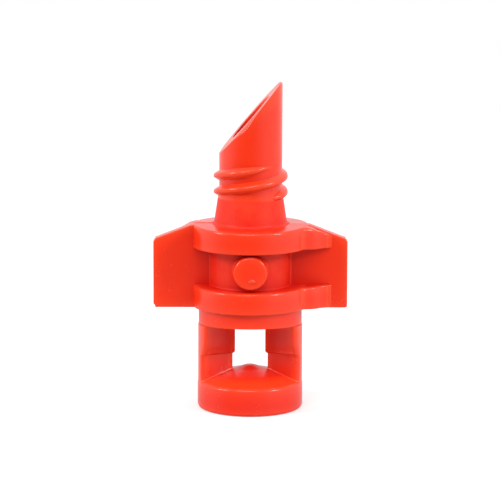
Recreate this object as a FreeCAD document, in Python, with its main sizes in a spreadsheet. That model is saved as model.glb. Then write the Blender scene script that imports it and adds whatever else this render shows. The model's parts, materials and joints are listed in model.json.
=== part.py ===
import FreeCAD, Part
import Sketcher
import os

# A push-in micro spray nozzle for drip irrigation, in millimetres.
# Its axis is Z, its foot stands on z = 0, and its mould opens along Y, so every
# face that would drag in the mould leans away from the parting plane y = 0.
# Turned half way round Z it is the same shape, apart from the bevel and the gate.
SIZES = {
    # the foot and the cone that spreads the jet
    "base_radius": 4.27,
    "base_height": 2.27,
    "base_bottom_round": 0.29,
    "base_top_round": 0.1,
    "cone_foot_radius": 4.15,
    "cone_waist_radius": 1.1,
    "cone_waist_height": 3.2,
    "cone_top_radius": 0.3,
    "cone_top_height": 3.48,
    "cone_top_round": 1.2,
    # the two legs either side of the spray windows
    "leg_radius": 4.25,
    "leg_ledge_height": 4.42,
    "throat_half_width": 1.23,
    "leg_edge_across": 4.96,
    "leg_edge_depth": 3.5,
    "leg_blank_height": 3.5,
    "foot_throat_half_width": 1.37,
    "foot_nose_depth": 0.17,
    "foot_edge_depth": 2.25,
    "cutter_radius": 12.0,
    # the collar, whose underside is the ceiling of the windows
    "collar_radius": 4.19,
    "ceiling_height": 6.87,
    "ceiling_edge_height": 7.26,
    "ceiling_edge_depth": 5.0,
    "collar_blank_height": 2.0,
    "cutter_top": 9.0,
    "cutter_bottom": 5.0,
    # the two flanges and the barrel between them
    "flange_radius": 4.67,
    "barrel_radius": 3.31,
    "barrel_blank_bottom": 9.3,
    "barrel_blank_height": 5.0,
    "lower_flange_bottom": 8.36,
    "lower_flange_bottom_rim": 8.44,
    "lower_flange_top_rim": 10.16,
    "lower_flange_top": 10.24,
    "upper_flange_bottom": 13.25,
    "upper_flange_bottom_rim": 13.31,
    "upper_flange_top_rim": 15.05,
    "upper_flange_top": 15.2,
    # the water way
    "bore_radius": 1.45,
    "orifice_radius": 0.55,
    "nozzle_seat_radius": 2.1,
    "nozzle_top": 7.9,
    "nozzle_throat_top": 7.4,
    # the neck, the quill and its bevelled point
    "neck_blank_bottom": 14.6,
    "neck_root_radius": 3.27,
    "neck_root_height": 15.12,
    "neck_bottom_radius": 2.9,
    "neck_bottom_height": 15.5,
    "neck_top_radius": 2.64,
    "neck_top_height": 17.3,
    "quill_radius": 2.53,
    "quill_straight_bottom": 18.3,
    "quill_height": 26.6,
    "tip_across": 2.35,
    "heel_across": 2.6,
    "heel_height": 20.85,
    "bevel_margin": 3.2,
    "bevel_top": 28.0,
    # the two-start thread
    "thread_crest_radius": 3.0,
    "thread_peak_radius": 3.06,
    "thread_inner_radius": 2.4,
    "thread_lead": 2.58,
    "thread_climb": 2.55,
    "thread_bottom": 17.43,
    "thread_start_angle": -53,
    "thread_foot_below": 0.37,
    "thread_foot_above": 0.55,
    "thread_crest_below": 0.12,
    "thread_crest_above": 0.06,
    "envelope_bottom": 17.34,
    "envelope_full_bottom": 17.72,
    "envelope_full_top": 19.68,
    "envelope_top": 20.1,
    # the wings
    "wing_thickness": 1.2,
    "wing_root": 2.6,
    "wing_reach": 7.88,
    "wing_bottom": 8.3,
    "wing_corner_height": 13.92,
    "wing_shoulder": 4.8,
    "wing_shoulder_height": 15.1,
    "wing_corner_round": 0.25,
    # the ribs that run from the flanges out along the wings, thick and then thin
    "rib_start_across": 3.85,
    "rib_start_depth": 2.5,
    "rib_root_across": 4.2,
    "rib_root_depth": 2.12,
    "rib_step_across": 5.3,
    "rib_step_depth": 1.75,
    "rib_thin_across": 5.65,
    "rib_thin_depth": 1.1,
    "rib_end_across": 6.6,
    "rib_end_depth": 1.0,
    "rib_inner_depth": 0.3,
    "rib_step_round": 0.25,
    # the gate boss on the front of the barrel
    "boss_radius": 1.37,
    "boss_height": 11.77,
    "boss_start": 2.6,
    "boss_length": 1.85,
    "boss_round": 0.14,
}

doc = FreeCAD.newDocument("micro_spray_nozzle")
sheet = doc.addObject("Spreadsheet::Sheet", "sizes")
for row, (name, number) in enumerate(SIZES.items(), start=1):
    sheet.set("A%d" % row, name)
    sheet.set("B%d" % row, str(number))
    sheet.setAlias("B%d" % row, name)
doc.recompute()

# Lengths this close are the same length, and volumes this close are the same volume.
SAME_LENGTH = 1e-4
SAME_VOLUME = 1e-6

HALF_TURN = FreeCAD.Rotation(FreeCAD.Vector(0, 0, 1), 180)
NO_TURN = FreeCAD.Rotation()


def cell(name):
    """The sheet expression for a size, which may have a minus sign before it."""
    if name.startswith("-"):
        return "-sizes." + name[1:]
    return "sizes." + name


def number_of(name):
    """The number that a size has now; "0" is a point on an axis."""
    if name == "0":
        return 0.0
    if name.startswith("-"):
        return -SIZES[name[1:]]
    return SIZES[name]


def new_body(label):
    body = doc.addObject("PartDesign::Body", label)
    body.Label = label
    return body


def new_sketch(body, role, label, offset=None):
    """A sketch on one of the body's own origin planes, lifted by a size if one is given."""
    sketch = body.newObject("Sketcher::SketchObject", body.Label + "_" + label)
    planes = {plane.Role: plane for plane in body.Origin.OriginFeatures}
    sketch.AttachmentSupport = [(planes[role], "")]
    sketch.MapMode = "FlatFace"
    if offset:
        sketch.setExpression("AttachmentOffset.Base.z", cell(offset))
    return sketch


def pin_corner(sketch, line, across, up):
    """Hold the start of a line at a place that the sheet gives."""
    for kind, axis, name in (("DistanceX", -2, across), ("DistanceY", -1, up)):
        if name == "0":
            sketch.addConstraint(Sketcher.Constraint("PointOnObject", line, 1, axis))
            continue
        datum = Sketcher.Constraint(kind, -1, 1, line, 1, number_of(name))
        index = sketch.addConstraint(datum)
        sketch.setExpression("Constraints[%d]" % index, cell(name))


def draw_outline(sketch, corners):
    """A closed outline of straight lines with its corners at sizes from the sheet."""
    points = [FreeCAD.Vector(number_of(across), number_of(up), 0) for across, up in corners]
    lines = []
    for start, end in zip(points, points[1:] + points[:1]):
        lines.append(sketch.addGeometry(Part.LineSegment(start, end)))
    for line, following in zip(lines, lines[1:] + lines[:1]):
        sketch.addConstraint(Sketcher.Constraint("Coincident", line, 2, following, 1))
    for line, (across, up) in zip(lines, corners):
        pin_corner(sketch, line, across, up)


def draw_circle(sketch, radius, up="0"):
    """A circle whose centre is on the sketch's upright axis."""
    centre = FreeCAD.Vector(0, number_of(up), 0)
    normal = FreeCAD.Vector(0, 0, 1)
    circle = sketch.addGeometry(Part.Circle(centre, normal, number_of(radius)))
    index = sketch.addConstraint(Sketcher.Constraint("Radius", circle, number_of(radius)))
    sketch.setExpression("Constraints[%d]" % index, cell(radius))
    sketch.addConstraint(Sketcher.Constraint("PointOnObject", circle, 3, -2))
    if up == "0":
        sketch.addConstraint(Sketcher.Constraint("PointOnObject", circle, 3, -1))
        return
    rise = Sketcher.Constraint("DistanceY", -1, 1, circle, 3, number_of(up))
    index = sketch.addConstraint(rise)
    sketch.setExpression("Constraints[%d]" % index, cell(up))


def add_pad(body, sketch, length):
    pad = body.newObject("PartDesign::Pad", sketch.Label + "_pad")
    pad.Profile = sketch
    pad.setExpression("Length", cell(length))
    doc.recompute()
    return pad


def add_slab(body, sketch, length):
    """A pad that spreads the same way to both sides of its sketch."""
    pad = add_pad(body, sketch, length)
    pad.SideType = "Symmetric"
    doc.recompute()
    return pad


def add_cut(body, sketch, side="Symmetric"):
    """A cut right through the body, to both sides of the sketch or to one."""
    before = body.Shape.Volume
    pocket = body.newObject("PartDesign::Pocket", sketch.Label + "_cut")
    pocket.Profile = sketch
    pocket.Type = "ThroughAll"
    pocket.SideType = side
    doc.recompute()
    if body.Shape.Volume > before - SAME_VOLUME:
        raise RuntimeError(pocket.Label + " removes nothing")
    return pocket


def add_revolution(body, sketch):
    turned = body.newObject("PartDesign::Revolution", sketch.Label + "_turned")
    turned.Profile = sketch
    turned.ReferenceAxis = (sketch, ["V_Axis"])
    turned.Angle = 360
    doc.recompute()
    return turned


def add_fillet(body, radius, wanted):
    """Round the edges of the body's tip that the test picks."""
    tip = body.Tip
    names = []
    for index, edge in enumerate(tip.Shape.Edges, start=1):
        if wanted(edge):
            names.append("Edge%d" % index)
    if not names:
        raise RuntimeError(body.Label + " has no edge to round")
    fillet = body.newObject("PartDesign::Fillet", body.Label + "_round%d" % len(body.Group))
    fillet.Base = (tip, names)
    fillet.setExpression("Radius", cell(radius))
    doc.recompute()
    return fillet


def bore_through(body):
    hole = new_sketch(body, "XY_Plane", "bore")
    draw_circle(hole, "bore_radius")
    add_cut(body, hole)


def trim_to_cylinder(body, radius):
    """Take away what stands outside a cylinder round the axis."""
    rim = new_sketch(body, "XY_Plane", "rim")
    draw_circle(rim, "cutter_radius")
    draw_circle(rim, radius)
    add_cut(body, rim)


def trim_at_ceiling(body, far):
    """Take away what lies between the windows' leaning ceiling and a far height."""
    ceiling = new_sketch(body, "YZ_Plane", "ceiling")
    draw_outline(ceiling, [
        ("0", "ceiling_height"),
        ("ceiling_edge_depth", "ceiling_edge_height"),
        ("ceiling_edge_depth", far),
        ("-ceiling_edge_depth", far),
        ("-ceiling_edge_depth", "ceiling_edge_height"),
    ])
    add_cut(body, ceiling)


def at_height(height):
    """A test for level round edges at a size's height."""
    level = number_of(height)

    def wanted(edge):
        box = edge.BoundBox
        return max(abs(box.ZMin - level), abs(box.ZMax - level)) < SAME_LENGTH
    return wanted


def upright_at(across, depth):
    """A test for edges that run along Z through a plan position."""
    x, y = number_of(across), number_of(depth)

    def wanted(edge):
        box = edge.BoundBox
        off = max(abs(box.XMin - x), abs(box.XMax - x), abs(box.YMin - y), abs(box.YMax - y))
        return off < SAME_LENGTH
    return wanted


def trimmed(label, blank, *neighbours):
    """The blank with its neighbours' room taken out, so that it meets them face to face."""
    shape = blank
    for index, neighbour in enumerate(neighbours, start=1):
        cut = doc.addObject("Part::Cut", "%s_trim%d" % (label, index))
        cut.Base = shape
        cut.Tool = neighbour
        shape = cut
    shape.Label = label
    doc.recompute()
    return shape


def make_base():
    body = new_body("deflector_base")
    plan = new_sketch(body, "XY_Plane", "plan")
    draw_circle(plan, "base_radius")
    add_pad(body, plan, "base_height")
    add_fillet(body, "base_bottom_round", at_height("0"))
    add_fillet(body, "base_top_round", at_height("base_height"))
    return body


def make_cone(legs):
    """The floor of the windows, which flares up to a blunt point under the jet."""
    body = new_body("deflector_cone_blank")
    profile = new_sketch(body, "XZ_Plane", "profile")
    draw_outline(profile, [
        ("0", "base_height"),
        ("cone_foot_radius", "base_height"),
        ("cone_waist_radius", "cone_waist_height"),
        ("cone_top_radius", "cone_top_height"),
        ("0", "cone_top_height"),
    ])
    add_revolution(body, profile)
    add_fillet(body, "cone_top_round", at_height("cone_top_height"))
    return trimmed("deflector_cone", body, *legs)


def make_leg(label, turn):
    """A wedge with its thin edge to the axis, and below a ledge a slimmer one to clear the spray."""
    body = new_body(label)
    plan = new_sketch(body, "XY_Plane", "plan", offset="leg_ledge_height")
    draw_outline(plan, [
        ("throat_half_width", "0"),
        ("leg_edge_across", "-leg_edge_depth"),
        ("leg_edge_across", "leg_edge_depth"),
    ])
    add_pad(body, plan, "leg_blank_height")
    foot = new_sketch(body, "XY_Plane", "foot", offset="base_height")
    draw_outline(foot, [
        ("foot_throat_half_width", "-foot_nose_depth"),
        ("leg_edge_across", "-foot_edge_depth"),
        ("leg_edge_across", "foot_edge_depth"),
        ("foot_throat_half_width", "foot_nose_depth"),
    ])
    shank = add_pad(body, foot, "leg_ledge_height")
    shank.setExpression("Length", "sizes.leg_ledge_height - sizes.base_height")
    doc.recompute()
    trim_to_cylinder(body, "leg_radius")
    trim_at_ceiling(body, "cutter_top")
    body.Placement = FreeCAD.Placement(FreeCAD.Vector(), turn)
    return body


def make_flange(level):
    """A disc whose faces lean towards each other away from the parting plane."""
    body = new_body(level + "_flange")
    side = new_sketch(body, "YZ_Plane", "side")
    draw_outline(side, [
        ("0", level + "_flange_bottom"),
        ("flange_radius", level + "_flange_bottom_rim"),
        ("flange_radius", level + "_flange_top_rim"),
        ("0", level + "_flange_top"),
        ("-flange_radius", level + "_flange_top_rim"),
        ("-flange_radius", level + "_flange_bottom_rim"),
    ])
    slab = add_slab(body, side, "cutter_radius")
    slab.setExpression("Length", "2 * sizes.flange_radius")
    doc.recompute()
    trim_to_cylinder(body, "flange_radius")
    bore_through(body)
    return body


def make_collar(lower_flange):
    body = new_body("outlet_collar_blank")
    plan = new_sketch(body, "XY_Plane", "plan", offset="ceiling_height")
    draw_circle(plan, "collar_radius")
    add_pad(body, plan, "collar_blank_height")
    trim_at_ceiling(body, "cutter_bottom")
    bore_through(body)
    seat = new_sketch(body, "XY_Plane", "seat", offset="nozzle_top")
    draw_circle(seat, "nozzle_seat_radius")
    add_cut(body, seat, "One side")
    return trimmed("outlet_collar", body, lower_flange)


def make_nozzle():
    """The plate that meters the water, with a funnel down to its orifice."""
    body = new_body("jet_nozzle")
    profile = new_sketch(body, "XZ_Plane", "profile")
    draw_outline(profile, [
        ("orifice_radius", "ceiling_height"),
        ("nozzle_seat_radius", "ceiling_height"),
        ("nozzle_seat_radius", "nozzle_top"),
        ("bore_radius", "nozzle_top"),
        ("orifice_radius", "nozzle_throat_top"),
    ])
    add_revolution(body, profile)
    return body


def make_barrel(flanges):
    body = new_body("barrel_blank")
    plan = new_sketch(body, "XY_Plane", "plan", offset="barrel_blank_bottom")
    draw_circle(plan, "barrel_radius")
    add_pad(body, plan, "barrel_blank_height")
    bore_through(body)
    return trimmed("barrel", body, *flanges)


def make_neck(upper_flange):
    body = new_body("tapered_neck_blank")
    profile = new_sketch(body, "XZ_Plane", "profile")
    draw_outline(profile, [
        ("bore_radius", "neck_blank_bottom"),
        ("neck_root_radius", "neck_blank_bottom"),
        ("neck_root_radius", "neck_root_height"),
        ("neck_bottom_radius", "neck_bottom_height"),
        ("neck_top_radius", "neck_top_height"),
        ("bore_radius", "neck_top_height"),
    ])
    add_revolution(body, profile)
    return trimmed("tapered_neck", body, upper_flange)


def make_quill():
    """The tube that goes into the pipe, cut off at a slant so that it pierces."""
    body = new_body("piercing_quill")
    profile = new_sketch(body, "XZ_Plane", "profile")
    draw_outline(profile, [
        ("bore_radius", "neck_top_height"),
        ("neck_top_radius", "neck_top_height"),
        ("quill_radius", "quill_straight_bottom"),
        ("quill_radius", "quill_height"),
        ("bore_radius", "quill_height"),
    ])
    add_revolution(body, profile)
    bevel = new_sketch(body, "XZ_Plane", "bevel")
    draw_outline(bevel, [
        ("-heel_across", "heel_height"),
        ("tip_across", "quill_height"),
        ("tip_across", "bevel_top"),
        ("-bevel_margin", "bevel_top"),
        ("-bevel_margin", "heel_height"),
    ])
    add_cut(body, bevel)
    return body


def make_thread(quill):
    """Two ridges that start half a turn apart and fade out at both ends."""
    envelope = new_body("thread_envelope")
    profile = new_sketch(envelope, "XZ_Plane", "profile")
    draw_outline(profile, [
        ("thread_inner_radius", "envelope_bottom"),
        ("quill_radius", "envelope_bottom"),
        ("thread_crest_radius", "envelope_full_bottom"),
        ("thread_crest_radius", "envelope_full_top"),
        ("quill_radius", "envelope_top"),
        ("thread_inner_radius", "envelope_top"),
    ])
    add_revolution(envelope, profile)
    room = trimmed("thread_room", envelope, quill)
    ridges = [make_ridge(index, room) for index in range(2)]
    thread = doc.addObject("Part::Compound", "inlet_thread")
    thread.Links = ridges
    doc.recompute()
    return thread


def make_ridge(index, room):
    helix = doc.addObject("Part::Helix", "thread_helix_%d" % index)
    helix.setExpression("Pitch", cell("thread_lead"))
    helix.setExpression("Height", cell("thread_climb"))
    helix.setExpression("Radius", cell("quill_radius"))
    section = doc.addObject("Sketcher::SketchObject", "thread_section_%d" % index)
    section.Placement.Rotation = FreeCAD.Rotation(FreeCAD.Vector(1, 0, 0), 90)
    draw_outline(section, [
        ("thread_inner_radius", "-thread_foot_below"),
        ("thread_peak_radius", "-thread_crest_below"),
        ("thread_peak_radius", "thread_crest_above"),
        ("thread_inner_radius", "thread_foot_above"),
    ])
    sweep = doc.addObject("Part::Sweep", "thread_sweep_%d" % index)
    sweep.Sections = [section]
    sweep.Spine = (helix, ["Edge1"])
    sweep.Solid = True
    sweep.Frenet = True
    sweep.setExpression("Placement.Base.z", cell("thread_bottom"))
    sweep.setExpression("Placement.Rotation.Angle", "sizes.thread_start_angle + %d" % (180 * index))
    doc.recompute()
    ridge = doc.addObject("Part::Common", "thread_ridge_%d" % index)
    ridge.Base = sweep
    ridge.Tool = room
    doc.recompute()
    return ridge


def make_wing(side, turn, neighbours):
    """An upright plate in the parting plane, with its top sloping down outwards."""
    body = new_body(side + "_wing_blank")
    outline = new_sketch(body, "XZ_Plane", "outline")
    draw_outline(outline, [
        ("wing_root", "wing_bottom"),
        ("wing_reach", "wing_bottom"),
        ("wing_reach", "wing_corner_height"),
        ("wing_shoulder", "wing_shoulder_height"),
        ("wing_root", "wing_shoulder_height"),
    ])
    add_slab(body, outline, "wing_thickness")

    def outer_corner(edge):
        box = edge.BoundBox
        at_reach = abs(box.XMin - number_of("wing_reach")) < SAME_LENGTH
        return at_reach and max(box.XLength, box.ZLength) < SAME_LENGTH
    add_fillet(body, "wing_corner_round", outer_corner)
    body.Placement = FreeCAD.Placement(FreeCAD.Vector(), turn)
    return trimmed(side + "_wing", body, *neighbours)


def make_rib(side, level, turn, neighbours):
    """A bar from the flange's rim out along the wing, with a step down to its thin end."""
    label = "%s_%s_rib" % (side, level)
    body = new_body(label + "_blank")
    plan = new_sketch(body, "XY_Plane", "plan", offset=level + "_flange_bottom_rim")
    draw_outline(plan, [
        ("rib_start_across", "-rib_inner_depth"),
        ("rib_start_across", "-rib_start_depth"),
        ("rib_root_across", "-rib_root_depth"),
        ("rib_step_across", "-rib_step_depth"),
        ("rib_thin_across", "-rib_thin_depth"),
        ("rib_end_across", "-rib_end_depth"),
        ("rib_end_across", "-rib_inner_depth"),
    ])
    pad = add_pad(body, plan, "wing_thickness")
    faces = (cell(level + "_flange_top_rim"), cell(level + "_flange_bottom_rim"))
    pad.setExpression("Length", "%s - %s" % faces)
    doc.recompute()
    for place in ("step", "thin"):
        corner = upright_at("rib_%s_across" % place, "-rib_%s_depth" % place)
        add_fillet(body, "rib_step_round", corner)
    if level == "upper":
        slope = new_sketch(body, "XZ_Plane", "slope")
        draw_outline(slope, [
            ("wing_reach", "wing_corner_height"),
            ("wing_reach", "neck_top_height"),
            ("wing_root", "neck_top_height"),
            ("wing_root", "wing_shoulder_height"),
            ("wing_shoulder", "wing_shoulder_height"),
        ])
        add_cut(body, slope)
    body.Placement = FreeCAD.Placement(FreeCAD.Vector(), turn)
    return trimmed(label, body, *neighbours)


def make_boss(barrel):
    """The short round boss where the plastic was fed in."""
    body = new_body("gate_boss_blank")
    face = new_sketch(body, "XZ_Plane", "face", offset="boss_start")
    draw_circle(face, "boss_radius", up="boss_height")
    add_pad(body, face, "boss_length")

    def front_rim(edge):
        box = edge.BoundBox
        front = -number_of("boss_start") - number_of("boss_length")
        return max(abs(box.YMin - front), abs(box.YMax - front)) < SAME_LENGTH
    add_fillet(body, "boss_round", front_rim)
    return trimmed("gate_boss", body, barrel)


base = make_base()
left_leg = make_leg("left_leg", HALF_TURN)
right_leg = make_leg("right_leg", NO_TURN)
cone = make_cone([left_leg, right_leg])
lower_flange = make_flange("lower")
upper_flange = make_flange("upper")
collar = make_collar(lower_flange)
nozzle = make_nozzle()
barrel = make_barrel([lower_flange, upper_flange])
neck = make_neck(upper_flange)
quill = make_quill()
thread = make_thread(quill)
boss = make_boss(barrel)
pieces = [base, left_leg, right_leg, cone, lower_flange, upper_flange, collar, nozzle]
pieces += [barrel, neck, quill, thread, boss]
for side, turn in (("right", NO_TURN), ("left", HALF_TURN)):
    wing = make_wing(side, turn, [barrel, lower_flange, upper_flange, collar])
    pieces.append(wing)
    pieces.append(make_rib(side, "lower", turn, [lower_flange, wing]))
    pieces.append(make_rib(side, "upper", turn, [upper_flange, wing]))

doc.recompute()
for item in doc.Objects:
    if "Invalid" in item.State or "Error" in item.State:
        raise RuntimeError("%s failed: %s" % (item.Label, item.State))
for piece in pieces:
    if piece.Shape.isNull() or not piece.Shape.isValid() or not piece.Shape.Solids:
        raise RuntimeError(piece.Label + " has no valid shape")

os.makedirs("parts", exist_ok=True)
for piece in pieces:
    piece.Shape.exportStep("parts/%s.step" % piece.Label)
    print(piece.Label, len(piece.Shape.Solids), round(piece.Shape.Volume, 3))
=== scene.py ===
import json
import math

import bmesh
import bpy
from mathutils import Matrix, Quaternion, Vector, noise


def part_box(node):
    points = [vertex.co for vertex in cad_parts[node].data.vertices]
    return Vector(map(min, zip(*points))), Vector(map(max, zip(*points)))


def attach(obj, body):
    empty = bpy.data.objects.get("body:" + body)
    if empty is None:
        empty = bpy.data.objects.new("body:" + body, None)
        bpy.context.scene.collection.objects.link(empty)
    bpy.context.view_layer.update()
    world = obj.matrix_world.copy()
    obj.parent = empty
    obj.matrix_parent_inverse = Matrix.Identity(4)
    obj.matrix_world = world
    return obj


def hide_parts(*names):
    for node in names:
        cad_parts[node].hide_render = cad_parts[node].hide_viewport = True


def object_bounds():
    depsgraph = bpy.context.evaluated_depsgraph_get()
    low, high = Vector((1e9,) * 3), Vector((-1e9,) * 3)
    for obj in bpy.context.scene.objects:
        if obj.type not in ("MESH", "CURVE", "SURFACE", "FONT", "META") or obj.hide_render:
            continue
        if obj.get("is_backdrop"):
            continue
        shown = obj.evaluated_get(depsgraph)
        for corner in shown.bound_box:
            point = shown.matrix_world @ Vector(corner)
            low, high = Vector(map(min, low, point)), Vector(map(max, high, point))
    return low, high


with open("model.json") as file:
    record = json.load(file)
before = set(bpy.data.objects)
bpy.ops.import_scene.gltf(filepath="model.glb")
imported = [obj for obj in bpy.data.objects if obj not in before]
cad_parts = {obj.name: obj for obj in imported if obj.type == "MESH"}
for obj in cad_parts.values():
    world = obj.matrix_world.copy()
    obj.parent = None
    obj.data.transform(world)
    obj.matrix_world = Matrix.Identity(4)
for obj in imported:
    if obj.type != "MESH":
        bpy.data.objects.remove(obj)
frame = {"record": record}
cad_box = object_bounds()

# A push-in micro spray nozzle. Meshes are worked out in millimetres, with the nozzle's axis on Z
# and its mould's parting plane at y = 0, and are stored in metres in the frame of the CAD model.
MM = 0.001
TURN = 2 * math.pi


def low(node):
    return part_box(node)[0] / MM


def high(node):
    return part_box(node)[1] / MM


def mount(name):
    return next(item for item in frame["record"]["mounts"] if item["name"] == name)


# Sizes that the CAD model already has.
BORE_RADIUS = mount("inlet_bore")["dims"]["r_mm"]
BASE_RADIUS = high("deflector_base").x
BASE_TOP = high("deflector_base").z
CONE_RADIUS = high("deflector_cone").y
CONE_TOP = high("deflector_cone").z
LEG_RADIUS = high("right_leg").x
LEG_DEPTH = high("right_leg").y
THROAT = low("right_leg").x
CEILING = low("outlet_collar").z
COLLAR_RADIUS = high("outlet_collar").x
SEAT_RADIUS = high("jet_nozzle").x
NOZZLE_TOP = high("jet_nozzle").z
LOWER_BOTTOM = low("lower_flange").z
LOWER_TOP = high("lower_flange").z
UPPER_BOTTOM = low("upper_flange").z
UPPER_TOP = high("upper_flange").z
FLANGE_RADIUS = high("upper_flange").x
BARREL_RADIUS = high("barrel").x
BOSS_RADIUS = high("gate_boss").x
BOSS_HEIGHT = (low("gate_boss").z + high("gate_boss").z) / 2
BOSS_FRONT = -low("gate_boss").y
NECK_TOP = high("tapered_neck").z
NECK_TOP_RADIUS = high("piercing_quill").y
TIP_HEIGHT = high("piercing_quill").z
THREAD_RADIUS = high("inlet_thread").x
WING_REACH = high("right_wing").x
WING_BOTTOM = low("right_wing").z
WING_TOP = high("right_wing").z
WING_HALF = high("right_wing").y
RIB_REACH = high("right_upper_rib").x

# Sizes inside the parts that the frame's boxes don't give.
QUILL_RADIUS = 2.53
QUILL_STRAIGHT_BOTTOM = 18.3
WING_SHOULDER = 4.8

# Leans of the moulded faces, as rise over run away from the parting plane.
CEILING_LEAN = 0.078
LOWER_LEAN = 0.017
UPPER_BOTTOM_LEAN = 0.013
UPPER_TOP_LEAN = 0.032

# The flash line that the mould leaves in the parting plane.
FLASH_HEIGHT = 0.015
FLASH_WIDTH = 0.05

# How far a piece goes into its neighbour, so that no gap shows between them.
SINK = 0.004

# How far a round body's hidden ends go on inside the flanges.
HIDDEN_END = 1.2


# ---------------------------------------------------------------- outlines

def arc(start, end, centre, steps):
    """Points on the short way round a centre, both ends included."""
    first = math.atan2(start.y - centre.y, start.x - centre.x)
    sweep = math.atan2(end.y - centre.y, end.x - centre.x) - first
    sweep = (sweep + math.pi) % TURN - math.pi
    radius = (start - centre).length
    angles = [first + sweep * step / steps for step in range(steps + 1)]
    return [centre + Vector((math.cos(a), math.sin(a))) * radius for a in angles]


def rounded(corners, closed=True, steps=6):
    """The points of an outline given by corners of (across, up, radius)."""
    places = [Vector(corner[:2]) for corner in corners]
    points = []
    for index, corner in enumerate(corners):
        here = places[index]
        end_of_path = not closed and index in (0, len(corners) - 1)
        radius = corner[2] if len(corner) > 2 else 0
        if end_of_path or radius <= 0:
            points.append(here)
            continue
        before = (places[index - 1] - here).normalized()
        after = (places[(index + 1) % len(places)] - here).normalized()
        half = before.angle(after) / 2
        reach = radius / math.tan(half)
        centre = here + (before + after).normalized() * (radius / math.sin(half))
        points += arc(here + before * reach, here + after * reach, centre, steps)
    return points


def ring_angles(radius, count=144):
    """Angles round the axis, closer together beside the parting plane for its flash line."""
    angles = {TURN * index / count for index in range(count)}
    for side in (0, math.pi):
        for offset in (-FLASH_WIDTH, -FLASH_WIDTH / 2, FLASH_WIDTH / 2, FLASH_WIDTH):
            angles.add((side + offset / radius) % TURN)
    return sorted(angles)


def between(value, start, end):
    """How far a value is on its way from start to end, kept from 0 to 1."""
    return min(1, max(0, (value - start) / (end - start)))


def eased(share):
    """The same share with a soft start and end."""
    return share * share * (3 - 2 * share)


# ---------------------------------------------------------------- meshes

def skin(name, rings, closed=False):
    """A mesh over rings of points: a tube joined end to end, or a solid with fanned ends."""
    width = len(rings[0])
    points = [Vector(point) for ring in rings for point in ring]
    faces = []
    for row in range(len(rings) if closed else len(rings) - 1):
        start = row * width
        above = (row + 1) % len(rings) * width
        for index in range(width):
            after = (index + 1) % width
            faces.append((start + index, start + after, above + after, above + index))
    if not closed:
        for start in (0, (len(rings) - 1) * width):
            ring = points[start:start + width]
            points.append(sum(ring, Vector()) / width)
            hub = len(points) - 1
            for index in range(width):
                faces.append((start + index, start + (index + 1) % width, hub))
    mesh = bpy.data.meshes.new(name)
    mesh.from_pydata([point * MM for point in points], [], faces)
    piece = bpy.data.objects.new(name, mesh)
    bpy.context.scene.collection.objects.link(piece)
    return piece


def finish_piece(piece, nodes, slot, sharp=35):
    """Give a piece clean normals and its material, hang it on its body and hide the CAD nodes it
    stands for.
    """
    work = bmesh.new()
    work.from_mesh(piece.data)
    bmesh.ops.remove_doubles(work, verts=work.verts, dist=1e-7)
    bmesh.ops.recalc_face_normals(work, faces=work.faces)
    for face in work.faces:
        face.smooth = True
    work.to_mesh(piece.data)
    work.free()
    piece.data.set_sharp_from_angle(angle=math.radians(sharp))
    even = piece.modifiers.new("even_shading", "WEIGHTED_NORMAL")
    even.keep_sharp = True
    piece.data.materials.append(MATERIALS[slot])
    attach(piece, "root")
    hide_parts(*nodes)
    return piece


def flash_rise(radius, angle):
    """How far the flash line stands off the outside at an angle round the axis."""
    bore_margin = 0.2
    if radius < BORE_RADIUS + bore_margin:
        return 0
    off_plane = radius * abs(math.asin(math.sin(angle)))
    return FLASH_HEIGHT * max(0, 1 - off_plane / FLASH_WIDTH)


def turned(name, outline, shape=None, closed=True):
    """A solid of revolution over an outline of (radius, height); shape may move its points."""
    angles = ring_angles(max(radius for radius, height in outline))
    rings = []
    for radius, height in outline:
        ring = []
        for angle in angles:
            reach = radius + flash_rise(radius, angle)
            point = Vector((reach * math.cos(angle), reach * math.sin(angle), height))
            ring.append(shape(point) if shape else point)
        rings.append(ring)
    return skin(name, rings, closed)


def leaning(bottom, top, bottom_lean, top_lean, seam=0):
    """A shape whose ends tilt from the parting plane, and whose top may have a seam on the left."""
    def shape(point):
        share = between(point.z, bottom, top)
        lean = bottom_lean + (top_lean - bottom_lean) * share
        lift = 0
        if share == 1 and point.x < 0:
            lift = seam * max(0, 1 - abs(point.y) / FLASH_WIDTH)
        return Vector((point.x, point.y, point.z + lean * abs(point.y) + lift))
    return shape


def bar(name, stations, turn=0):
    """A bar along X through stations of (x, back, front, bottom, top, edge radius)."""
    rings = []
    for x, back, front, bottom, top, edge in stations:
        corners = [(back, bottom, edge), (front, bottom, edge), (front, top, edge), (back, top, edge)]
        section = rounded(corners, steps=4)
        rings.append([Vector((x, across, up)) for across, up in section])
    spin = math.cos(turn)
    rings = [[Vector((p.x * spin, p.y * spin, p.z)) for p in ring] for ring in rings]
    return skin(name, rings)


def end_rounding(station, steps=4):
    """Stations that round off the end of a bar over its last edge radius."""
    x, back, front, bottom, top, edge = station
    side = 1 if front > back else -1
    stations = []
    for step in range(steps + 1):
        angle = math.pi / 2 * step / steps
        drop = edge * 0.98 * (1 - math.cos(angle))
        along = x - edge + edge * math.sin(angle)
        ends = (back + side * drop, front - side * drop, bottom + drop, top - drop)
        stations.append((along, *ends, edge))
    return stations


# ---------------------------------------------------------------- the cage at the foot

def make_base():
    outline = rounded([
        (0.02, 0.0),
        (BASE_RADIUS, 0.0, 0.29),
        (BASE_RADIUS, BASE_TOP, 0.24),
        (0.02, BASE_TOP),
    ], closed=False, steps=8)
    piece = turned("foot_disc", outline, closed=False)
    finish_piece(piece, ["deflector_base"], "red_gloss")


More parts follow.
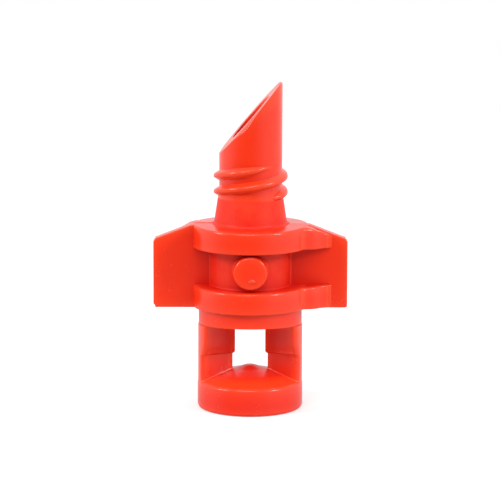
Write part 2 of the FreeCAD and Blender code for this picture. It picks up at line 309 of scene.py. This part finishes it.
def cone_outline():
    """The window floor from its rim in: a gently crowned slope that flares up to a blunt top."""
    return rounded([
        (CONE_RADIUS, BASE_TOP - 0.3),
        (CONE_RADIUS, BASE_TOP + 0.01, 0.03),
        (2.6, BASE_TOP + 0.55, 5.0),
        (1.1, CONE_TOP - 0.28, 3.0),
        (0.3, CONE_TOP, 1.2),
        (0.02, CONE_TOP),
    ], closed=False, steps=10)


def cone_height(radius):
    """The height of the window floor at a distance from the axis."""
    outline = cone_outline()
    for outer, inner in zip(outline, outline[1:]):
        if inner.x <= radius <= outer.x and outer.x > inner.x:
            share = (radius - inner.x) / (outer.x - inner.x)
            return inner.y + (outer.y - inner.y) * share
    return BASE_TOP


def make_cone():
    piece = turned("spreader_cone", cone_outline(), closed=False)
    finish_piece(piece, ["deflector_cone"], "red_gloss")


def wedge(tip, nose, depth):
    """The plan of a leg: its rounded nose to the axis and its back on the outside cylinder."""
    edge = 0.3
    steps = 6
    half_angle = math.asin(depth / LEG_RADIUS)
    back = []
    for step in range(steps + 1):
        angle = -half_angle + 2 * half_angle * step / steps
        radius = edge if step in (0, steps) else 0
        back.append((LEG_RADIUS * math.cos(angle), LEG_RADIUS * math.sin(angle), radius))
    lean = math.atan2(depth, back[0][0] - tip)
    corner = tip - nose * (1 / math.sin(lean) - 1)
    return rounded([(corner, 0, nose)] + back)


def make_leg(name, node, turn):
    """A wedge over a slimmer one, with a ledge between and a hollow round at the floor."""
    ledge = 4.42
    ledge_fade = 1.2
    chamfer = 0.12
    fillet = 0.16
    nose = 0.12
    foot = (1.4, 0.3, 1.66)
    blank = (THROAT, nose, LEG_DEPTH)
    rings = []

    def add_ring(plan, height):
        rings.append([Vector((*point, height(point))) for point in wedge(*plan)])

    def add_leaning_ring(plan, height):
        add_ring(plan, lambda point: height + CEILING_LEAN * abs(point.y))

    add_ring((foot[0] - fillet, foot[1], foot[2] + fillet), lambda point: BASE_TOP - 0.1)
    for step in range(6):
        angle = math.pi / 2 * step / 5
        spread = fillet * (1 - math.sin(angle))
        rise = fillet * (1 - math.cos(angle))
        add_ring((foot[0] - spread, foot[1], foot[2] + spread),
                 lambda point: cone_height(point.length) + rise)
    add_leaning_ring(foot, ledge)
    add_leaning_ring((THROAT + chamfer, nose, foot[2] + chamfer), ledge)
    add_leaning_ring((THROAT, nose, foot[2] + 2 * chamfer), ledge + chamfer)
    add_ring(blank, lambda point: ledge + ledge_fade)
    add_leaning_ring(blank, CEILING + SINK)
    spin = math.cos(turn)
    rings = [[Vector((p.x * spin, p.y * spin, p.z)) for p in ring] for ring in rings]
    piece = skin(name, rings)
    finish_piece(piece, [node], "red_gloss", sharp=40)


def make_collar():
    root = 0.12
    flare = COLLAR_RADIUS + root + 0.04
    hidden_top = LOWER_BOTTOM + 0.3
    outline = rounded([
        (SEAT_RADIUS, CEILING),
        (COLLAR_RADIUS, CEILING, 0.07),
        (COLLAR_RADIUS, LOWER_BOTTOM + SINK, root),
        (flare, LOWER_BOTTOM + SINK),
        (flare, hidden_top),
        (BORE_RADIUS, hidden_top),
        (BORE_RADIUS, NOZZLE_TOP),
        (SEAT_RADIUS, NOZZLE_TOP),
    ])
    shape = leaning(CEILING, LOWER_BOTTOM, CEILING_LEAN, LOWER_LEAN)
    piece = turned("window_collar", outline, shape)
    finish_piece(piece, ["outlet_collar"], "red_gloss")


def make_nozzle():
    orifice = 0.55
    funnel = 0.5
    outline = rounded([
        (orifice, CEILING, 0.03),
        (SEAT_RADIUS, CEILING + 0.001),
        (SEAT_RADIUS, NOZZLE_TOP),
        (BORE_RADIUS, NOZZLE_TOP),
        (orifice, NOZZLE_TOP - funnel, 0.08),
    ])
    shape = leaning(CEILING, NOZZLE_TOP, CEILING_LEAN, 0)
    piece = turned("jet_plate", outline, shape)
    finish_piece(piece, ["jet_nozzle"], "red_gloss")


# ---------------------------------------------------------------- the body

def make_flange(name, node, level, seam):
    bottom, top, bottom_lean, top_lean = level
    outline = rounded([
        (BORE_RADIUS, bottom),
        (FLANGE_RADIUS, bottom, 0.09),
        (FLANGE_RADIUS, top, 0.2),
        (BORE_RADIUS, top),
    ])
    piece = turned(name, outline, leaning(bottom, top, bottom_lean, top_lean, seam))
    finish_piece(piece, [node], "red_gloss")


def make_barrel():
    root = 0.1
    flare = BARREL_RADIUS + root + 0.02
    outline = rounded([
        (BORE_RADIUS, LOWER_TOP - HIDDEN_END),
        (flare, LOWER_TOP - HIDDEN_END),
        (flare, LOWER_TOP - SINK),
        (BARREL_RADIUS, LOWER_TOP - SINK, root),
        (BARREL_RADIUS, UPPER_BOTTOM + SINK, root),
        (flare, UPPER_BOTTOM + SINK),
        (flare, UPPER_BOTTOM + HIDDEN_END),
        (BORE_RADIUS, UPPER_BOTTOM + HIDDEN_END),
    ])
    shape = leaning(LOWER_TOP, UPPER_BOTTOM, -LOWER_LEAN, UPPER_BOTTOM_LEAN)
    piece = turned("body_barrel", outline, shape)
    finish_piece(piece, ["barrel"], "red_matte")


def make_boss():
    """A short stud off the barrel's front, with a low dome inside its rounded rim."""
    outline = rounded([
        (BOSS_RADIUS + 0.1, BARREL_RADIUS - 0.5),
        (BOSS_RADIUS + 0.1, BARREL_RADIUS - 0.12, 0.1),
        (BOSS_RADIUS, BARREL_RADIUS + 0.1, 0.2),
        (BOSS_RADIUS - 0.02, BOSS_FRONT - 0.04, 0.2),
        (0.02, BOSS_FRONT),
    ], closed=False)

    def shape(point):
        return Vector((point.x, -point.z, BOSS_HEIGHT + point.y))
    piece = turned("gate_stud", outline, shape, closed=False)
    finish_piece(piece, ["gate_boss"], "red_gloss")


def make_gate_scar():
    """The torn nub where the moulding was broken off its gate."""
    work = bmesh.new()
    bmesh.ops.create_icosphere(work, subdivisions=4, radius=1)
    centre = Vector((0.12, -BOSS_FRONT + 0.02, BOSS_HEIGHT - 0.62))
    half_width, half_depth, half_height = 0.3, 0.09, 0.17
    for vertex in work.verts:
        across, deep, up = vertex.co
        rough = 1 + 0.35 * noise.noise(vertex.co * 2.3) + 0.18 * noise.noise(vertex.co * 6.1)
        place = Vector((across * half_width, deep * half_depth, up * half_height)) * rough
        vertex.co = (place + centre) * MM
    mesh = bpy.data.meshes.new("gate_scar")
    work.to_mesh(mesh)
    work.free()
    piece = bpy.data.objects.new("gate_scar", mesh)
    bpy.context.scene.collection.objects.link(piece)
    finish_piece(piece, ["gate_boss"], "red_gloss")


def wing_top(x):
    """The height of a wing's sloping top edge at a distance from the axis."""
    corner_height = 13.92
    slope = (WING_TOP - corner_height) / (WING_REACH - WING_SHOULDER)
    return WING_TOP - slope * max(0, x - WING_SHOULDER)


def corner_drop(x, radius):
    """How far a rounded corner of the wing falls away at a distance from the axis."""
    along = max(0, x - WING_REACH + radius)
    return radius - math.sqrt(max(0, radius ** 2 - along ** 2))


def make_wing(name, node, turn, bottom_round):
    edge = 0.12
    top_round = 0.1
    root = 0.08
    inner_end = 2.6
    barrel_side = math.sqrt(BARREL_RADIUS ** 2 - WING_HALF ** 2)
    root_half = WING_HALF + root
    stations = [(inner_end, -root_half, root_half, WING_BOTTOM, wing_top(inner_end), edge)]
    for step in range(7):
        x = barrel_side + root * math.sin(math.pi / 2 * step / 6)
        half = root_half - math.sqrt(max(0, root ** 2 - (root - (x - barrel_side)) ** 2))
        stations.append((x, -half, half, WING_BOTTOM, wing_top(x), edge))
    stations.append((WING_SHOULDER, -WING_HALF, WING_HALF, WING_BOTTOM, WING_TOP, edge))
    corner_start = WING_REACH - 0.3
    corner_step = 0.03
    for step in range(10):
        x = corner_start + corner_step * step
        rise = corner_drop(x, bottom_round)
        top = wing_top(x) - corner_drop(x, top_round)
        stations.append((x, -WING_HALF, WING_HALF, WING_BOTTOM + rise, top, edge))
    stations = [station for station in stations if station[0] < WING_REACH - edge]
    last_top = wing_top(WING_REACH) - top_round
    last = (WING_REACH, -WING_HALF, WING_HALF, WING_BOTTOM + bottom_round, last_top, edge)
    stations += end_rounding(last)
    piece = bar(name, stations, turn)
    finish_piece(piece, [node], "red_gloss")


def make_rib(name, node, level, turn):
    """A bar from the flange's rim out along the wing, with a soft step down to its thin end."""
    bottom, top, bottom_lean, top_lean = level
    path = rounded([
        (3.8, -2.55),
        (4.3, -2.08, 1.2),
        (5.2, -1.75, 1.2),
        (5.8, -1.1, 1.0),
        (RIB_REACH - 0.4, -1.0, 0.4),
        (RIB_REACH, -WING_HALF - 0.05),
    ], closed=False, steps=8)
    inner_side = -0.2
    stations = []
    for x, depth in path:
        edge = 0.25 - 0.13 * between(x, 4.4, 5.6)
        under = bottom + bottom_lean * abs(depth)
        over = min(top + top_lean * abs(depth), wing_top(x) - 0.1 * between(x, 4.6, 5.4))
        stations.append((x, inner_side, depth, under, over, edge))
    stations = stations[:-1] + end_rounding(stations[-1])
    piece = bar(name, stations, turn)
    finish_piece(piece, [node], "red_gloss")


# ---------------------------------------------------------------- the inlet

def make_neck():
    root = 0.3
    bottom_radius = 2.95
    flare = bottom_radius + root + 0.1
    outline = rounded([
        (BORE_RADIUS, UPPER_TOP - HIDDEN_END),
        (flare, UPPER_TOP - HIDDEN_END),
        (flare, UPPER_TOP - SINK),
        (bottom_radius, UPPER_TOP - SINK, root),
        (NECK_TOP_RADIUS, NECK_TOP),
        (BORE_RADIUS, NECK_TOP),
    ])
    piece = turned("stem_neck", outline, leaning(UPPER_TOP, NECK_TOP, -UPPER_TOP_LEAN, 0))
    finish_piece(piece, ["tapered_neck"], "red_matte")


def make_quill():
    """The tube with its end cut at a slant; the cut's front edge is dressed unevenly."""
    heel = Vector((-2.6, 20.85))
    tip = Vector((2.35, TIP_HEIGHT))
    slope = (tip.y - heel.y) / (tip.x - heel.x)
    edge = 0.05
    dressed = 2.05
    dressing_depth = 0.3
    dressing_angle = math.radians(-97)
    dressing_spread = 0.3
    outline = rounded([
        (BORE_RADIUS, NECK_TOP),
        (NECK_TOP_RADIUS, NECK_TOP),
        (QUILL_RADIUS, QUILL_STRAIGHT_BOTTOM, 3),
        (QUILL_RADIUS, TIP_HEIGHT, edge),
        (dressed, TIP_HEIGHT),
        (BORE_RADIUS, TIP_HEIGHT, edge),
    ], steps=4)

    def shape(point):
        cut = min(TIP_HEIGHT, max(heel.y + 0.1, heel.y + (point.x - heel.x) * slope))
        angle = math.atan2(point.y, point.x) - dressing_angle
        off_radius = between(math.hypot(point.x, point.y), dressed, QUILL_RADIUS)
        cut -= dressing_depth * off_radius * math.exp(-(angle / dressing_spread) ** 2)
        share = between(point.z, QUILL_STRAIGHT_BOTTOM + 0.3, TIP_HEIGHT - 2 * edge)
        return Vector((point.x, point.y, point.z + (cut - TIP_HEIGHT) * share))
    piece = turned("piercing_tube", outline, shape)
    finish_piece(piece, ["piercing_quill"], "red_gloss")


def make_thread():
    """Two ridges that start half a turn apart and fade at both ends."""
    lead = 2.58
    first_angle = math.radians(-62)
    first_height = 17.37
    climb = 2.78
    fade_in = 0.1
    fade_out = 0.78
    inner = 2.4
    section = rounded([
        (inner, -0.52),
        (THREAD_RADIUS, -0.16, 0.15),
        (THREAD_RADIUS, 0.12, 0.2),
        (inner, 0.5),
    ], steps=5)
    steps = 150
    for index in range(2):
        rings = []
        for step in range(steps + 1):
            share = step / steps
            angle = first_angle + math.pi * index + TURN * climb / lead * share
            fade = eased(between(share, 0, fade_in)) * eased(between(share, 1, fade_out))
            ring = []
            for radius, height in section:
                reach = inner + (radius - inner) * (0.15 + 0.85 * fade)
                level = first_height + climb * share + height * (0.45 + 0.55 * fade)
                ring.append(Vector((reach * math.cos(angle), reach * math.sin(angle), level)))
            rings.append(ring)
        piece = skin("thread_start_%d" % (index + 1), rings)
        finish_piece(piece, ["inlet_thread"], "red_gloss")


# ---------------------------------------------------------------- materials

def noise_value(nodes, links, scale, detail, source):
    texture = nodes.new("ShaderNodeTexNoise")
    texture.inputs["Scale"].default_value = scale
    texture.inputs["Detail"].default_value = detail
    links.new(source, texture.inputs["Vector"])
    return texture.outputs["Fac"]


def ranged(nodes, links, value, lowest, highest, start=0.3, end=0.7):
    spread = nodes.new("ShaderNodeMapRange")
    spread.inputs["From Min"].default_value = start
    spread.inputs["From Max"].default_value = end
    spread.inputs["To Min"].default_value = lowest
    spread.inputs["To Max"].default_value = highest
    links.new(value, spread.inputs["Value"])
    return spread.outputs["Result"]


def bumped(nodes, links, value, height, under=None):
    bump = nodes.new("ShaderNodeBump")
    bump.inputs["Distance"].default_value = height
    bump.inputs["Strength"].default_value = 1
    links.new(value, bump.inputs["Height"])
    if under:
        links.new(under, bump.inputs["Normal"])
    return bump.outputs["Normal"]


def openness(nodes, reach, inside):
    """How free a point is of walls within reach, outside or inside the plastic: from 0 to 1."""
    probe = nodes.new("ShaderNodeAmbientOcclusion")
    probe.samples = 8
    probe.inside = inside
    probe.only_local = inside
    probe.inputs["Distance"].default_value = reach
    return probe.outputs["AO"]


def mixed(nodes, links, share, first, second):
    """A mix of two colours, each a plain colour or the output of a node."""
    mix = nodes.new("ShaderNodeMix")
    mix.data_type = "RGBA"
    links.new(share, mix.inputs["Factor"])
    for name, colour in (("A", first), ("B", second)):
        if isinstance(colour, tuple):
            mix.inputs[name].default_value = (*colour, 1)
        else:
            links.new(colour, mix.inputs[name])
    return mix.outputs["Result"]


def scaled(colour, red, green, blue):
    """A colour with its channels multiplied by three factors."""
    return (colour[0] * red, colour[1] * green, colour[2] * blue)


def red_plastic(name, colour, mottle, specular, roughness, grain_size, grain_height, wave_height):
    """Moulded plastic with painted light along thin edges and painted shade, a deeper red, in its
    hollows.
    """
    material = bpy.data.materials.new(name)
    material.use_nodes = True
    nodes = material.node_tree.nodes
    links = material.node_tree.links
    shader = nodes["Principled BSDF"]
    place = nodes.new("ShaderNodeTexCoord").outputs["Object"]
    patches = noise_value(nodes, links, scale=900, detail=4, source=place)
    patch_share = ranged(nodes, links, patches, 0, 1)
    body = mixed(nodes, links, patch_share, colour, scaled(colour, 1, mottle, mottle))
    # Painted shade: where walls stand within 5 mm, the base colour turns a darker, deeper red,
    # standing in for the shade that falls in hollows.
    space_outside = openness(nodes, reach=0.005, inside=False)
    open_share = ranged(nodes, links, space_outside, 0, 1, start=0.2, end=0.95)
    painted_hollow_shade = mixed(nodes, links, open_share, scaled(colour, 0.72, 0.1, 0.1), body)
    # Painted light: thin parts and edges within 0.9 mm of the far side get a lighter, pinker base
    # colour, standing in for light shining through the plastic.
    space_inside = openness(nodes, reach=0.0009, inside=True)
    thick_share = ranged(nodes, links, space_inside, 0, 1, start=0.45, end=0.95)
    painted_edge_glow = mixed(nodes, links, thick_share, scaled(colour, 1, 1.5, 1.9), painted_hollow_shade)
    links.new(painted_edge_glow, shader.inputs["Base Color"])
    links.new(ranged(nodes, links, patches, *roughness), shader.inputs["Roughness"])
    swell = noise_value(nodes, links, scale=420, detail=2, source=place)
    wave = bumped(nodes, links, swell, wave_height)
    grain = noise_value(nodes, links, scale=1 / grain_size, detail=3, source=place)
    links.new(bumped(nodes, links, grain, grain_height, wave), shader.inputs["Normal"])
    shader.inputs["IOR"].default_value = 1.49
    shader.inputs["Specular IOR Level"].default_value = specular
    return material


MATERIALS = {
    "red_gloss": red_plastic(
        "red_gloss", colour=(0.79, 0.030, 0.005), mottle=0.9, specular=0.5, roughness=(0.2, 0.28),
        grain_size=0.0002, grain_height=0.0000012, wave_height=0.000006),
    "red_matte": red_plastic(
        "red_matte", colour=(0.77, 0.017, 0.003), mottle=2.2, specular=0.25, roughness=(0.4, 0.55),
        grain_size=0.00012, grain_height=0.000012, wave_height=0.00002),
}


# ---------------------------------------------------------------- camera, lights and floor

def aim(thing, target):
    direction = Vector(target) - thing.location
    thing.rotation_euler = direction.to_track_quat("-Z", "Y").to_euler()


def add_camera():
    data = bpy.data.cameras.new("camera")
    data.lens = 188
    data.sensor_width = 36
    data.clip_start = 0.01
    camera = bpy.data.objects.new("camera", data)
    bpy.context.scene.collection.objects.link(camera)
    aside = -0.035
    away = 209
    height = 49.6
    aim_height = 12.95
    camera.location = Vector((aside, -away, height)) * MM
    aim(camera, Vector((aside, 0, aim_height)) * MM)
    roll = Quaternion((0, 0, 1), math.radians(0.18))
    camera.rotation_euler = (camera.rotation_euler.to_quaternion() @ roll).to_euler()
    bpy.context.scene.camera = camera


def add_softbox(name, side_angle, lift_angle, distance, size, power):
    """A square lamp at an angle beside the camera and above the floor; its lengths are in metres."""
    middle = (0, 0, 0.013)
    data = bpy.data.lights.new(name, "AREA")
    data.size = size
    data.energy = power
    lamp = bpy.data.objects.new(name, data)
    bpy.context.scene.collection.objects.link(lamp)
    side = math.radians(side_angle)
    lift = math.radians(lift_angle)
    away = Vector((math.sin(side) * math.cos(lift), -math.cos(side) * math.cos(lift), math.sin(lift)))
    lamp.location = away * distance
    aim(lamp, middle)


def add_floor():
    """A pale table top that gives off light, isn't reflected and ends below the picture."""
    mesh = bpy.data.meshes.new("floor")
    side = 0.3
    front = -0.036
    back = 0.2
    corners = [(-side, front, 0), (side, front, 0), (side, back, 0), (-side, back, 0)]
    mesh.from_pydata(corners, [], [(0, 1, 2, 3)])
    floor = bpy.data.objects.new("floor", mesh)
    bpy.context.scene.collection.objects.link(floor)
    material = bpy.data.materials.new("floor_white")
    material.use_nodes = True
    shader = material.node_tree.nodes["Principled BSDF"]
    shader.inputs["Base Color"].default_value = (0.6, 0.6, 0.6, 1)
    shader.inputs["Emission Color"].default_value = (1, 1, 1, 1)
    shader.inputs["Emission Strength"].default_value = 0.35
    shader.inputs["Roughness"].default_value = 0.9
    shader.inputs["Specular IOR Level"].default_value = 0.1
    mesh.materials.append(material)
    floor.visible_glossy = False
    floor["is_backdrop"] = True


def set_sky(front, back, low):
    """A white tent, dark beside the camera and dimmer low down; the camera sees it plain white."""
    world = bpy.data.worlds.new("white_tent")
    world.use_nodes = True
    nodes = world.node_tree.nodes
    links = world.node_tree.links
    tent = nodes["Background"]
    side = nodes.new("ShaderNodeVectorMath")
    side.operation = "DOT_PRODUCT"
    side.inputs[1].default_value = (0.34, 0.94, 0)
    direction = nodes.new("ShaderNodeTexCoord").outputs["Generated"]
    links.new(direction, side.inputs[0])
    parts = nodes.new("ShaderNodeSeparateXYZ")
    links.new(direction, parts.inputs[0])
    shade = nodes.new("ShaderNodeMapRange")
    shade.interpolation_type = "SMOOTHSTEP"
    shade.inputs["From Min"].default_value = -1
    shade.inputs["From Max"].default_value = -0.25
    shade.inputs["To Min"].default_value = front
    shade.inputs["To Max"].default_value = back
    links.new(side.outputs["Value"], shade.inputs["Value"])
    strength = nodes.new("ShaderNodeMath")
    strength.operation = "MULTIPLY"
    links.new(shade.outputs["Result"], strength.inputs[0])
    ramp = ranged(nodes, links, parts.outputs["Z"], low, 1, start=-0.25, end=-0.08)
    links.new(ramp, strength.inputs[1])
    links.new(strength.outputs["Value"], tent.inputs["Strength"])
    seen = nodes.new("ShaderNodeBackground")
    choice = nodes.new("ShaderNodeMixShader")
    for background in (tent, seen):
        background.inputs["Color"].default_value = (1, 1, 1, 1)
    links.new(nodes.new("ShaderNodeLightPath").outputs["Is Camera Ray"], choice.inputs["Fac"])
    links.new(tent.outputs["Background"], choice.inputs[1])
    links.new(seen.outputs["Background"], choice.inputs[2])
    links.new(choice.outputs["Shader"], nodes["World Output"].inputs["Surface"])
    bpy.context.scene.world = world
    bpy.context.scene.view_settings.view_transform = "Standard"


add_camera()
add_floor()
set_sky(front=0.17, back=0.95, low=0.6)
add_softbox("top_softbox", side_angle=-10, lift_angle=45, distance=0.5, size=0.3, power=1.0)
add_softbox("left_softbox", side_angle=-68, lift_angle=30, distance=0.5, size=0.11, power=1.15)
add_softbox("right_softbox", side_angle=58, lift_angle=30, distance=0.5, size=0.09, power=1.0)

LOWER_LEVEL = (LOWER_BOTTOM, LOWER_TOP, LOWER_LEAN, -LOWER_LEAN)
UPPER_LEVEL = (UPPER_BOTTOM, UPPER_TOP, UPPER_BOTTOM_LEAN, -UPPER_TOP_LEAN)

make_base()
make_cone()
make_leg("cage_leg_right", "right_leg", 0)
make_leg("cage_leg_left", "left_leg", math.pi)
make_collar()
make_nozzle()
make_flange("flange_low", "lower_flange", LOWER_LEVEL, 0)
make_flange("flange_high", "upper_flange", UPPER_LEVEL, 0.035)
make_barrel()
make_boss()
make_gate_scar()
make_wing("finger_wing_right", "right_wing", 0, 0.03)
make_wing("finger_wing_left", "left_wing", math.pi, 0.2)
for side, turn in (("right", 0), ("left", math.pi)):
    make_rib("rib_low_" + side, side + "_lower_rib", LOWER_LEVEL, turn)
    make_rib("rib_high_" + side, side + "_upper_rib", UPPER_LEVEL, turn)
make_neck()
make_quill()
make_thread()

boxes = {"cad": cad_box, "visual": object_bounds()}
{name: [list(corner) for corner in box] for name, box in boxes.items()}
